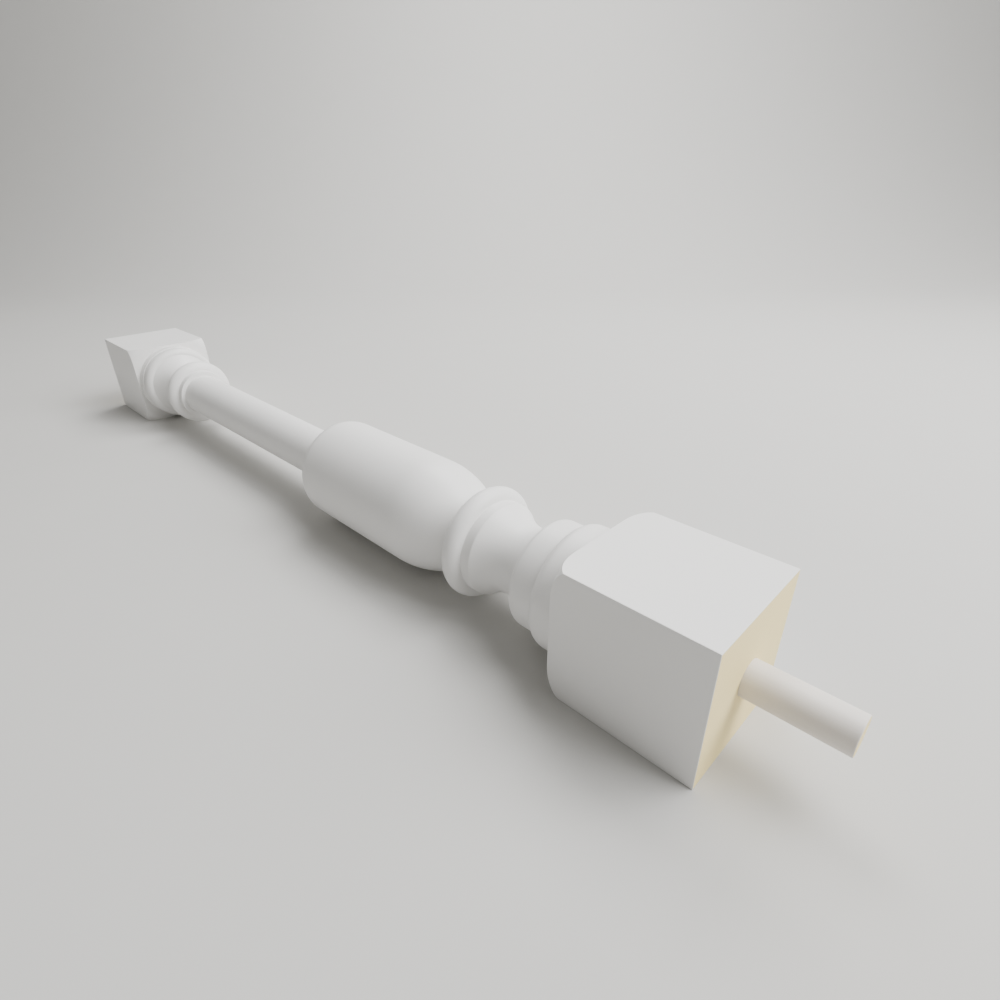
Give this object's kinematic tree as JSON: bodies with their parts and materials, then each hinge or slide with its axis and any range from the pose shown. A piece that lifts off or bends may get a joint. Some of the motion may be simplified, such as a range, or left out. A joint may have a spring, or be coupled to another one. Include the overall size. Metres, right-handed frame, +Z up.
{
  "type": "stair baluster",
  "caption": "White primed wooden stair baluster, turned with a vase, rings, beads and a slender shaft between square end blocks, lying on its side, with a round dowel in its bottom end.",
  "frame": {"origin": "on the floor under the middle of the whole length, where the middle of the bounding box's underside is", "axes": "+X along the baluster's axis towards its bottom end and dowel, +Z up, +Y across"},
  "size_m": [0.8374, 0.0826, 0.0826],
  "materials": {
    "primed_wood": "matt white primer on a smooth turned surface, with the end grain left bare and cream",
    "dowel_coat": "matt white primer on a smooth rod, with the end left bare and cream"
  },
  "bodies": {
    "root": {"turned_baluster": "primed_wood", "end_dowel": "dowel_coat"}
  },
  "joints": []
}
